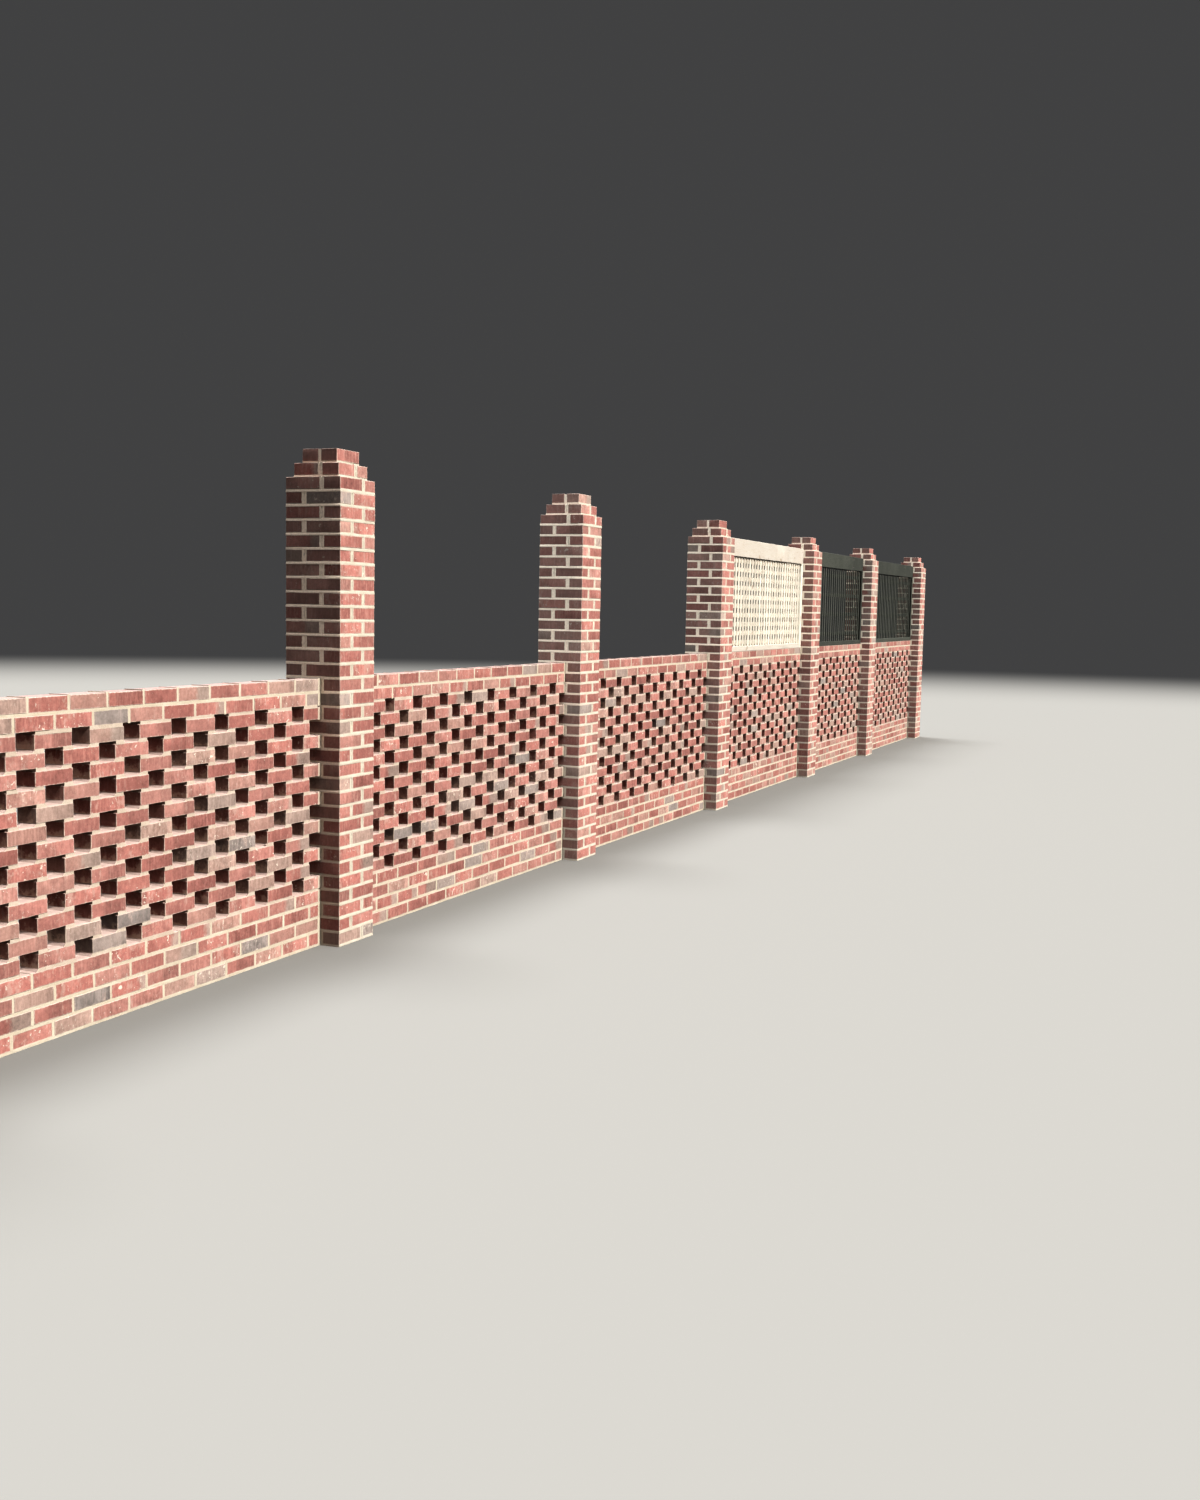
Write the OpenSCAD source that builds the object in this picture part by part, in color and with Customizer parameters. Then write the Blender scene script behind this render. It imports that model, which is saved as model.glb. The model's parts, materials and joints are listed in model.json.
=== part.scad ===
// Pierced brick garden wall: square brick piers with stepped caps, a low wall of
// honeycomb brickwork between them, and timber lattice panels on the last bays.
// +X runs along the wall, the front looks to -Y, the ground is at z = 0.

/* [Bricks] */
// Length of a brick
brick_l = 194; // [180:1:240]
// Width of a brick, which is the thickness of the wall
brick_w = 92; // [80:1:115]
// Height of a brick
brick_h = 57; // [45:1:76]
// Bed joint between two courses
bed = 10.7; // [6:0.1:16]
// Upright joint in the face of a pier
pier_joint = 19; // [8:1:30]

/* [Bays] */
// Number of bays
bays = 6; // [5:1:7]
// Whole bricks in a pierced row of a full bay
bay_bricks = 8; // [5:1:10]
// Number of the bay that is shorter than the others
short_bay = 5; // [1:1:5]
// Bricks that the pierced rows of the shorter bay lack
short_by = 1; // [0:1:3]

/* [Wall] */
// Clear width of a hole between two bricks of a pierced row
gap = 90; // [50:1:120]
// Solid courses under the pierced rows
base_courses = 4; // [1:1:8]
// Pierced rows
pierced_rows = 13; // [3:1:16]
// Solid courses over the pierced rows
top_courses = 2; // [1:1:4]

/* [Piers] */
// Plain pier courses that stand above the wall
pier_rise = 14; // [12:1:18]
// Side of the middle step of the cap
cap_step = 250; // [220:1:270]
// Joint between the two bricks of the highest course
cap_joint = 10; // [6:1:14]

/* [Timber panels] */
// Number of the first bay that carries a panel
first_panel = 4; // [1:1:5]
// Number of bays, from the first panel on, whose lattice is close in both directions
close_panels = 1; // [0:1:3]
// Height of a panel above the wall
panel_h = 966; // [600:1:970]
// Height of the board along the top
board_h = 150; // [90:1:200]
// Thickness of the board and the frame
board_t = 38; // [30:1:50]
// Width of an upright of the frame
stile_w = 60; // [38:1:90]
// Height of the rail at the bottom
rail_h = 45; // [30:1:70]

/* [Lattice] */
// Width of a lath
lath_w = 38; // [25:1:45]
// Thickness of a lath
lath_t = 8; // [5:0.5:11]
// Distance from the front of the frame back to the laths
lath_recess = 12; // [2:0.5:14]
// Spacing of the laths of a close lattice, in both directions
lath_pitch = 78.5; // [60:0.5:100]
// Spacing of the upright laths in an open lattice
open_lath_pitch = 87.5; // [70:0.5:110]
// Spacing of the level laths in an open lattice
open_level_pitch = 204; // [150:1:300]

/* [Hidden] */
course = brick_h + bed;
module_l = brick_l + gap;
bat_l = module_l / 2;
pier_w = brick_l + pier_joint + brick_w;
base_top = base_courses * course;
screen_h = pierced_rows * course + bed;
wall_top = (base_courses + pierced_rows + top_courses) * course;
shaft_top = wall_top + pier_rise * course;
cap_top_y = 2 * brick_w + cap_joint;
panel_y = -brick_w / 2;
board_z = wall_top + panel_h - board_h;
total_l = pier_x(bays + 1) + pier_w;

pier_numbers = [for (i = [1 : bays + 1]) i];
bay_numbers = [for (i = [1 : bays]) i];
panel_numbers = [for (i = bay_numbers) if (i >= first_panel) i];

// A pierced row has a hole, its whole bricks with a hole after each, and a bat.
function row_bricks(i) = bay_bricks - (i == short_bay ? short_by : 0);
function bay_l(i) = gap + row_bricks(i) * module_l + bat_l;

// Left side of pier i, counted from the left end of the wall
function pier_x(i) = i <= 1 ? 0 : pier_x(i - 1) + pier_w + bay_l(i - 1);
function bay_x(i) = pier_x(i) + pier_w;

// Places its children at x along the wall, counted from its left end
module along(x) {
    translate([x - total_l / 2, 0, 0])
        children();
}

// Stands a drawing of the front view upright, its face at y and its back at y + depth
module upright(y, depth) {
    translate([0, y + depth, 0])
        rotate([90, 0, 0])
            linear_extrude(depth)
                children();
}

// A square block of brickwork in the middle of a pier
module pier_block(size_x, size_y, z, h) {
    translate([(pier_w - size_x) / 2, -size_y / 2, z])
        cube([size_x, size_y, h]);
}

module pier_shaft(i) {
    color("#b06a5c")
        along(pier_x(i))
            pier_block(pier_w, pier_w, 0, shaft_top);
}

// Two courses that step in: cut bricks, then two bricks side by side
module pier_cap(i) {
    color("#a8655a")
        along(pier_x(i)) {
            pier_block(cap_step, cap_step, shaft_top, course);
            pier_block(brick_l, cap_top_y, shaft_top + course, course);
        }
}

// A band of solid courses between two piers
module solid_courses(i, z, h) {
    along(bay_x(i))
        translate([0, -brick_w / 2, z])
            cube([bay_l(i), brick_w, h]);
}

module bay_base(i) {
    color("#b77263")
        solid_courses(i, 0, base_top);
}

module bay_top_courses(i) {
    color("#c07a69")
        solid_courses(i, base_top + screen_h, wall_top - base_top - screen_h);
}

// The holes of one row reach from the bricks below to the bricks above.
// Odd rows start with a hole at the left pier, even rows end with one at the right.
module row_holes(i, row) {
    odd = row % 2 == 1;
    for (k = [0 : row_bricks(i)])
        translate([odd ? k * module_l : bat_l + k * module_l, (row - 1) * course])
            square([gap, course + bed]);
}

module bay_screen(i) {
    color("#c98573")
        along(bay_x(i))
            upright(-brick_w / 2, brick_w)
                translate([0, base_top])
                    difference() {
                        square([bay_l(i), screen_h]);
                        for (row = [1 : pierced_rows])
                            row_holes(i, row);
                    }
}

module bay_board(i) {
    color(i < first_panel + close_panels ? "#e8d3ae" : "#5a5c4e")
        along(bay_x(i))
            upright(panel_y, board_t)
                translate([0, board_z])
                    square([bay_l(i), board_h]);
}

// The opening that the uprights, the bottom rail and the board leave for the laths
function inner_w(i) = bay_l(i) - 2 * stile_w;
inner_h = panel_h - board_h - rail_h;

// Two uprights joined by the bottom rail, standing on the wall
module bay_frame(i) {
    color(i < first_panel + close_panels ? "#dcc49c" : "#4c4e42")
        along(bay_x(i))
            upright(panel_y, board_t)
                translate([0, wall_top])
                    difference() {
                        square([bay_l(i), rail_h + inner_h]);
                        translate([stile_w, rail_h])
                            square([inner_w(i), inner_h]);
                    }
}

// Starts of equal strips, evenly spaced and centred in a width
function strip_starts(width, pitch) =
    let (n = floor((width - lath_w) / pitch))
    [for (k = [0 : n]) (width - lath_w - n * pitch) / 2 + k * pitch];

// Upright laths in front, level laths nailed behind them
module bay_lattice(i) {
    close = i < first_panel + close_panels;
    front = panel_y + lath_recess;
    color(close ? "#efdcb8" : "#54574a")
        along(bay_x(i) + stile_w)
            translate([0, 0, wall_top + rail_h]) {
                upright(front, lath_t)
                    for (x = strip_starts(inner_w(i), close ? lath_pitch : open_lath_pitch))
                        translate([x, 0])
                            square([lath_w, inner_h]);
                upright(front + lath_t, lath_t)
                    for (z = strip_starts(inner_h, close ? lath_pitch : open_level_pitch))
                        translate([0, z])
                            square([inner_w(i), lath_w]);
            }
}

for (i = pier_numbers) {
    pier_shaft(i);
    pier_cap(i);
}
for (i = bay_numbers) {
    bay_base(i);
    bay_screen(i);
    bay_top_courses(i);
}
for (i = panel_numbers) {
    bay_board(i);
    bay_frame(i);
    bay_lattice(i);
}
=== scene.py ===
import json
import math
import bpy
import numpy as np
from mathutils import Matrix, Vector

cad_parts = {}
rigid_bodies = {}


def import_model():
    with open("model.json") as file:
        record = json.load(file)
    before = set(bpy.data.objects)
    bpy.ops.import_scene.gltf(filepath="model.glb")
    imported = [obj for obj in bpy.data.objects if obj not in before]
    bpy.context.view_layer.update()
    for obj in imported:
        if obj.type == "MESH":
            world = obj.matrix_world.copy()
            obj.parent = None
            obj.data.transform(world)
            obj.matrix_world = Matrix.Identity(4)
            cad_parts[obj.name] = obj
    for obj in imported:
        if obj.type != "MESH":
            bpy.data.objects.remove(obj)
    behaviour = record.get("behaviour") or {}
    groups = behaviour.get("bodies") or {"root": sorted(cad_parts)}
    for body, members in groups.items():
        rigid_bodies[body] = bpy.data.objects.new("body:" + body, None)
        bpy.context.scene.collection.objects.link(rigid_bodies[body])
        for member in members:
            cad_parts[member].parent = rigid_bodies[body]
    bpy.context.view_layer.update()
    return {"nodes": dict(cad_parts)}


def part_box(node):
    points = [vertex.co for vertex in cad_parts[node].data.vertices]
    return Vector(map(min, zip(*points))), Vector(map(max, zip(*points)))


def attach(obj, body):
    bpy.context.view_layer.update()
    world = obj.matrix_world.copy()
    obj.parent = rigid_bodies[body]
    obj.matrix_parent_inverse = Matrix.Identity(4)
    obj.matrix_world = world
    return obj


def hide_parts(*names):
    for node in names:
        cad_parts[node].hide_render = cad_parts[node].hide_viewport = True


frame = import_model()
scene = bpy.context.scene


# Shader sums are written as Python expressions on wires.

class Wire:
    # one socket of a finish; operators have reflected forms too, so that 1 - mask works
    def __init__(self, finish, socket):
        self.finish = finish
        self.socket = socket

    # a plain number that meets a vector stands for all three of its parts
    def combine(self, operation, first, second):
        kind = "Math"
        pair = [first, second]
        if any(isinstance(part, Wire) and part.socket.type != "VALUE" for part in pair):
            kind = "VectorMath"
            pair = [(part,) * 3 if isinstance(part, (int, float)) else part for part in pair]
        return self.finish.node(kind, {"operation": operation}, dict(enumerate(pair)))

    def __add__(self, other):
        return self.combine("ADD", self, other)

    def __radd__(self, other):
        return self.combine("ADD", other, self)

    def __sub__(self, other):
        return self.combine("SUBTRACT", self, other)

    def __rsub__(self, other):
        return self.combine("SUBTRACT", other, self)

    def __mul__(self, other):
        return self.combine("MULTIPLY", self, other)

    def __rmul__(self, other):
        return self.combine("MULTIPLY", other, self)

    def __truediv__(self, other):
        return self.combine("DIVIDE", self, other)

    def __rtruediv__(self, other):
        return self.combine("DIVIDE", other, self)

    def __lt__(self, other):
        return self.combine("LESS_THAN", self, other)

    def __gt__(self, other):
        return self.combine("GREATER_THAN", self, other)

    def least(self, other):
        return self.combine("MINIMUM", self, other)

    def most(self, other):
        return self.combine("MAXIMUM", self, other)

    def __abs__(self):
        return self.finish.node("Math", {"operation": "ABSOLUTE"}, {0: self})

    def parts(self):
        return self.finish.node("SeparateXYZ", {}, {0: self}, every=True)


class Finish:
    # one material or sky, and the nodes that it is painted with
    def __init__(self, owner):
        self.owner = owner
        self.owner.use_nodes = True
        self.tree = self.owner.node_tree
        self.tree.nodes.clear()

    # settings come before sockets, because some settings change which sockets there are
    def node(self, kind, settings, sockets, output=0, every=False):
        made = self.tree.nodes.new("ShaderNode" + kind)
        for name, value in settings.items():
            if name == "stops":
                while len(made.color_ramp.elements) < len(value):
                    made.color_ramp.elements.new(1)
                for element, (place, colour) in zip(made.color_ramp.elements, value):
                    element.position = place
                    element.color = (*colour, 1)
            else:
                setattr(made, name, value)
        for name, value in sockets.items():
            if isinstance(value, Wire):
                self.tree.links.new(value.socket, made.inputs[name])
            else:
                made.inputs[name].default_value = value
        if every:
            return [Wire(self, socket) for socket in made.outputs]
        return Wire(self, made.outputs[output]) if made.outputs else None

    def read(self, name):
        return self.node("Attribute", {"attribute_name": name}, {}, "Vector")

    def place(self):
        return self.node("TexCoord", {}, {}, "Object")

    # how far the surface faces along x, y and z
    def facing(self):
        return self.node("NewGeometry", {}, {}, "Normal").parts()

    def noise(self, place, scale, detail, rough=0.5, stretch=None):
        if stretch:
            place = place * stretch
        sockets = {"Vector": place, "Scale": scale, "Detail": detail, "Roughness": rough}
        return self.node("TexNoise", {}, sockets)

    def noises(self, place, *settings):
        return [self.noise(place, *setting) for setting in settings]

    def fade(self, value, start, end, low=0.0, high=1.0):
        ends = {"Value": value, "From Min": start, "From Max": end, "To Min": low, "To Max": high}
        return self.node("MapRange", {"interpolation_type": "SMOOTHSTEP"}, ends)

    # spreads a share, which runs from 0 to 1, over another range
    def spread(self, share, low, high):
        return self.fade(share, 0.0, 1.0, low, high)

    def ramp(self, value, stops):
        return self.node("ValToRGB", {"stops": stops}, {0: value})

    # the Mix node's colour sockets are its seventh and eighth
    def mix(self, share, first, second):
        first, second = [(*part, 1) if isinstance(part, tuple) else part for part in (first, second)]
        return self.node("Mix", {"data_type": "RGBA"}, {0: share, 6: first, 7: second}, 2)

    # lays a colour over the high spots of a noise; a layer is its colour, noise, edge and share
    def lay(self, under, place, layer, more):
        colour, noise, edge, share = layer
        high = self.fade(self.noise(place, *noise) + more, *edge)
        return self.mix(high * share, under, colour)

    # what lies on the sills of the holes, and painted shade high up: the tops of the wall and the piers are
    # painted darker against the strong light from overhead
    def dustAndTopShade(self, look):
        high = self.fade(self.place().parts()[2], *look["topHeights"])
        return self.mix(high, look["dustColour"], look["paintedTopShadeColour"])

    # a bumpy surface; a relief is the bump's depth and strength
    def bumpy(self, colour, rough, height, look):
        depth, strength = look["relief"]
        normal = self.node("Bump", {}, {"Height": height, "Distance": depth, "Strength": strength})
        return self.surface({"Base Color": colour, "Roughness": rough, "Normal": normal, **look["constants"]})

    # the shader and the output; what isn't a wire is set as a constant on its socket
    def surface(self, sockets):
        self.node("OutputMaterial", {}, {"Surface": self.node("BsdfPrincipled", {}, sockets)})
        return self.owner


def newFinish(name):
    return Finish(bpy.data.materials.new(name))


# In a look, a noise is its scale, detail, roughness and, where it is drawn out along an axis,
# its stretch. An edge is where a fade starts and ends, and a share how strongly a layer is laid on.
# A wander is how far a noise moves an edge, and a fade is an edge and the values at its two ends.

midway = 0.5  # the middle of a noise, of a fade and of a random number

# dust on what faces up, and painted shade: what faces up high on the wall and the piers is painted darker
# against the strong light from overhead
dustAndTopShadeLook = {
    "dustColour": (0.289, 0.223, 0.202),
    "paintedTopShadeColour": (0.140, 0.108, 0.100),
    "topHeights": (1.22, 1.27),
}

# Each vertex carries three vectors: spot is its place in its brick's own axes, half is half
# the brick's size, and luck is three random numbers of the brick's own.

brickLook = {
    **dustAndTopShadeLook,
    "tones": [
        (0.00, (0.202, 0.088, 0.076)),
        (0.18, (0.224, 0.100, 0.085)),
        (0.40, (0.230, 0.109, 0.094)),
        (0.60, (0.236, 0.122, 0.105)),
        (0.76, (0.239, 0.142, 0.120)),
        (0.86, (0.231, 0.157, 0.133)),
        (0.93, (0.216, 0.161, 0.139)),
        (0.97, (0.194, 0.161, 0.146)),
        (1.00, (0.150, 0.130, 0.122)),
    ],
    "brightness": (0.90, 1.10),
    "apart": 37.0,  # takes each brick to a part of the noises of its own
    "noises": [
        (1 / 0.011, 4.0, 0.66, (1.0, 1.0, 0.13)),  # streaks
        (1 / 0.014, 5.0, 0.72),  # mottle
        (34.0, 4.0, 0.6),  # clouds
        (520.0, 2.0, 0.7),  # grain
        (75.0, 3.0, 0.65),  # rubbed places
    ],
    "streakiness": (0.05, 0.90),  # some bricks are more streaked than others
    "mottleShare": 0.95,
    "cloudShare": 0.52,
    "plainNoise": 0.52,
    "plainShade": 0.985,
    "streakEdge": (0.50, 0.72),
    "veil": 0.20,
    "bandColour": (0.205, 0.164, 0.143),
    "bandChance": 0.13,
    "bandStarts": (-0.1, 0.75),
    "bandWander": (0.6, 0.5),  # by the clouds and by the streaks
    "bandEdge": (-0.20, 0.20),
    "bandShare": 0.85,
    "partStarts": (-0.7, 0.7),
    "partWander": 0.3,
    "partEdge": (-0.06, 0.06),
    "partShare": 0.55,
    "burntColour": (0.111, 0.058, 0.049),
    "burntStreaks": (0.36, 0.27),
    "burntClouds": (0.50, 0.36),
    "burntShare": 0.6,
    "arrisColour": (0.325, 0.270, 0.235),
    "arrisWander": 0.012,
    "arrisEdge": (0.0050, -0.0002),
    "arrisShare": 0.85,
    "smearFade": (0.2, 1.0, 0.0, 0.10),  # some bricks are smeared more than others
    "speckSmearing": 0.6,
    "filmColour": (0.315, 0.236, 0.202),
    "smears": ((0.315, 0.236, 0.202), (24.0, 4.0, 0.7, (1.0, 1.0, 0.55)), (0.60, 0.72), 0.42),
    "specks": ((0.360, 0.322, 0.280), (62.0, 5.0, 0.78, (1.0, 1.0, 0.6)), (0.645, 0.70), 0.75),
    "splashes": ((0.420, 0.375, 0.325), (42.0, 2.5, 0.60, (0.8, 1.0, 1.0)), (0.75, 0.775), 0.8),
    "endBounceShare": 0.0,
    "paintedFlankLightSpread": None,
    "topEdge": (0.94, 0.99),
    "topPatches": (0.30, 0.45),
    "topShare": 0.8,
    "roughFade": (0.3, 0.7, 0.82, 0.96),
    "reliefParts": (0.5, 0.3, 0.4, 0.25),  # streaks, grain, rubbed places and the film
    "relief": (0.0011, 0.9),
    "constants": {"Specular IOR Level": 0.3},
}

pierBrickLook = {
    **brickLook,
    "brightness": (0.972, 1.188),
    "veil": 0.36,
    # painted shade: the tops high on the piers are painted darker still
    "paintedTopShadeColour": (0.105, 0.074, 0.065),
    "sideEdge": (0.6, 0.9),
    "paintedFlankLightSpread": (0.12, 0.46),
    "paintedFlankLightColour": (0.206, 0.168, 0.145),
}
screenBrickLook = {
    **brickLook,
    # painted light on the ends of the bricks in the holes, bounced from the lit sills
    "endEdge": (0.975, 0.990),
    "endParts": (0.20, 0.10, 0.30),  # lower down, further out and by luck
    "endBounceFade": (0.74, 0.96),
    "endBounceShare": 0.42,
    "endBounceColour": (0.56, 0.47, 0.38),
}


def brickFinish(name, look):
    finish = newFinish(name)
    fade = finish.fade
    mix = finish.mix
    spot, half, luck = [finish.read(word) for word in ("spot", "half", "luck")]
    tone, bandLuck, seed = luck.parts()
    x, y, z = spot.parts()
    halfX, halfY, halfZ = half.parts()
    ownPlace = spot + luck * look["apart"]
    streaks, mottle, clouds, grain, rubbed = finish.noises(ownPlace, *look["noises"])

    colour = finish.ramp(tone, look["tones"])
    # some bricks turn grey towards one end, where the next one covered them in the kiln
    bandStart = finish.spread(seed, *look["bandStarts"])
    byClouds, byStreaks = look["bandWander"]
    bandPlace = x / halfX + (clouds - midway) * byClouds + (streaks - midway) * byStreaks
    band = fade(bandPlace - bandStart, *look["bandEdge"]) * (bandLuck < look["bandChance"])
    colour = mix(band * look["bandShare"], colour, look["bandColour"])
    # many have one part a shade darker than the rest, with a clear upright edge
    partPlace = x / halfX + (streaks - midway) * look["partWander"]
    partStart = finish.spread(tone, *look["partStarts"])
    darkPart = fade(partPlace - partStart, *look["partEdge"]) - midway
    streaky = finish.spread(bandLuck, *look["streakiness"])
    plain = look["plainNoise"]
    shade = (streaks - plain) * streaky + (mottle - plain) * look["mottleShare"]
    shade = shade + (clouds - midway) * look["cloudShare"] + look["plainShade"]
    shade = shade + darkPart * (seed - midway) * look["partShare"]
    colour = colour * shade * finish.spread(seed, *look["brightness"])
    colour = mix(fade(streaks, *look["streakEdge"]) * look["veil"], colour, look["filmColour"])
    burnt = fade(streaks, *look["burntStreaks"]) * fade(clouds, *look["burntClouds"])
    colour = mix(burnt * look["burntShare"], colour, look["burntColour"])

    # A film of mortar lies along the arrises, and smears, specks and splashes over the faces. The
    # distance to the nearest arris is the middle one of the distances to the three pairs of faces.
    gapX = halfX - abs(x)
    gapY = halfY - abs(y)
    gapZ = halfZ - abs(z)
    arrisGap = gapX + gapY + gapZ - gapX.least(gapY.least(gapZ)) - gapX.most(gapY.most(gapZ))
    film = fade(arrisGap + (rubbed - midway) * look["arrisWander"], *look["arrisEdge"])
    colour = mix(film * look["arrisShare"], colour, look["arrisColour"])
    smeared = fade(seed, *look["smearFade"])
    colour = finish.lay(colour, ownPlace, look["smears"], smeared)
    colour = finish.lay(colour, ownPlace, look["specks"], smeared * look["speckSmearing"])
    colour = finish.lay(colour, ownPlace, look["splashes"], smeared)
    # painted light: a pale patch over the lower part of the ends that show in the holes, nearer the faces,
    # stands for light bounced from the lit sills
    if look["endBounceShare"]:
        endFace = fade(abs(x) / halfX, *look["endEdge"])
        byHeight, byDepth, byLuck = look["endParts"]
        low = clouds - z / halfZ * byHeight + abs(y) / halfY * byDepth + bandLuck * byLuck
        bounceLit = endFace * fade(low, *look["endBounceFade"])
        colour = mix(bounceLit * look["endBounceShare"], colour, look["endBounceColour"])
    # painted light: the flanks of the piers are painted greyer, standing for the bluish skylight in their
    # shade, some bricks more than others
    if look["paintedFlankLightSpread"]:
        sideways = fade(abs(finish.facing()[0]), *look["sideEdge"])
        flankLit = sideways * finish.spread(bandLuck, *look["paintedFlankLightSpread"])
        colour = mix(flankLit, colour, look["paintedFlankLightColour"])
    # mortar dust on the tops of the bricks, and high up the painted top shade
    topFace = fade(z / halfZ, *look["topEdge"]) * fade(rubbed, *look["topPatches"])
    colour = mix(topFace * look["topShare"], colour, finish.dustAndTopShade(look))

    byStreaks, byGrain, byRubbed, byFilm = look["reliefParts"]
    height = streaks * byStreaks + grain * byGrain + rubbed * byRubbed + film * byFilm
    return finish.bumpy(colour, fade(grain, *look["roughFade"]), height, look)


mortarLook = {
    **dustAndTopShadeLook,
    "colour": (0.314, 0.276, 0.219),
    "paleColour": (0.345, 0.311, 0.255),
    "darkColour": (0.251, 0.207, 0.161),
    "noises": [(14.0, 4.0, 0.6), (95.0, 3.0, 0.6), (1 / 0.0012, 2.0, 0.7)],  # clouds, blots and sand
    "cloudEdge": (0.35, 0.68),
    "blotEdge": (0.58, 0.72),
    "blotShare": 0.6,
    "sandFade": (0.25, 0.75, 0.88, 1.12),
    "upEdge": (0.35, 0.65),
    "upWander": 0.3,
    "paintedFlankLightShare": 0.0,
    "rough": 0.93,
    "reliefParts": (0.5, 0.8),  # sand and blots
    "relief": (0.0012, 0.9),
    "constants": {"Specular IOR Level": 0.25},
}

# painted light: the joints on the flanks of the piers are painted paler than those on their faces, most of
# all high up, where more skylight falls on them in the shade
pierMortarLook = {
    **mortarLook,
    "colour": (0.314, 0.285, 0.236),
    "paleColour": (0.345, 0.321, 0.275),
    # painted shade: a darker colour for what faces up high on the piers
    "paintedTopShadeColour": (0.125, 0.100, 0.088),
    "sideEdge": (0.60, 0.85),
    "paintedFlankLightShare": 0.90,
    "paintedFlankLightColour": (0.810, 0.690, 0.575),
    "flankBlotFade": (0.25, 0.60, 0.7, 1.0),
    "flankHeightFade": (0.20, 1.40, 0.15, 1.0),
}
screenMortarLook = {**mortarLook, "colour": (0.300, 0.252, 0.207), "paleColour": (0.335, 0.292, 0.246)}


def mortarFinish(name, look):
    finish = newFinish(name)
    fade = finish.fade
    mix = finish.mix
    place = finish.place()
    clouds, blots, sand = finish.noises(place, *look["noises"])
    colour = mix(fade(clouds, *look["cloudEdge"]), look["colour"], look["paleColour"])
    colour = mix(fade(blots, *look["blotEdge"]) * look["blotShare"], colour, look["darkColour"])
    colour = colour * fade(sand, *look["sandFade"])
    facing = finish.facing()
    # painted light: the joints on the flanks are painted paler, more so high up
    if look["paintedFlankLightShare"]:
        flankLight = fade(abs(facing[0]), *look["sideEdge"]) * fade(blots, *look["flankBlotFade"])
        flankLight = flankLight * fade(place.parts()[2], *look["flankHeightFade"])
        colour = mix(flankLight * look["paintedFlankLightShare"], colour, look["paintedFlankLightColour"])
    # what faces up is dusty, and high up it is painted darker as shade against the strong light from overhead
    dustAndTopShadeMask = fade(facing[2] + (blots - midway) * look["upWander"], *look["upEdge"])
    colour = mix(dustAndTopShadeMask, colour, finish.dustAndTopShade(look))
    bySand, byBlots = look["reliefParts"]
    return finish.bumpy(colour, look["rough"], sand * bySand + blots * byBlots, look)


brick = brickFinish("brickRed", brickLook)
pierBrick = brickFinish("brickPier", pierBrickLook)
screenBrick = brickFinish("brickScreen", screenBrickLook)
mortar = mortarFinish("mortarCream", mortarLook)
screenMortar = mortarFinish("mortarScreen", screenMortarLook)
pierMortar = mortarFinish("mortarPier", pierMortarLook)
print("brick and mortar are mixed")


# Shapes: a block is a lattice over its surface, and many blocks go into one joined mesh.

def blockGrid(cells):
    steps = {}
    quads = []
    for axis in range(3):
        u = (axis + 1) % 3
        v = (axis + 2) % 3
        for side in (0, cells[axis]):
            for a in range(cells[u]):
                for b in range(cells[v]):
                    ring = [(a, b), (a + 1, b), (a + 1, b + 1), (a, b + 1)]
                    if side == 0:
                        ring.reverse()
                    quad = []
                    for p, q in ring:
                        step = {axis: side, u: p, v: q}
                        quad.append(steps.setdefault((step[0], step[1], step[2]), len(steps)))
                    quads.append(quad)
    return np.array(list(steps)), quads


roundedCells = 3  # a rounded arris takes a narrow cell at either end and one between them


# where the steps lie along one axis
def alongAxis(step, cells, half, edge):
    if cells < roundedCells:
        return (2 * step / cells - 1) * half
    inner = np.clip((step - 1) / (cells - 2), 0, 1)
    place = (2 * inner - 1) * (half - edge)
    place = np.where(step == 0, -half, place)
    return np.where(step == cells, half, place)


# edges that turn by more than this many degrees are sharp
blockDegrees = 15
smoothDegrees = 38


def readSharp(mesh, degrees):
    mesh.set_sharp_from_angle(angle=math.radians(degrees))
    found = np.empty(len(mesh.edges), bool)
    mesh.attributes["sharp_edge"].data.foreach_get("value", found)
    return found


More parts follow.
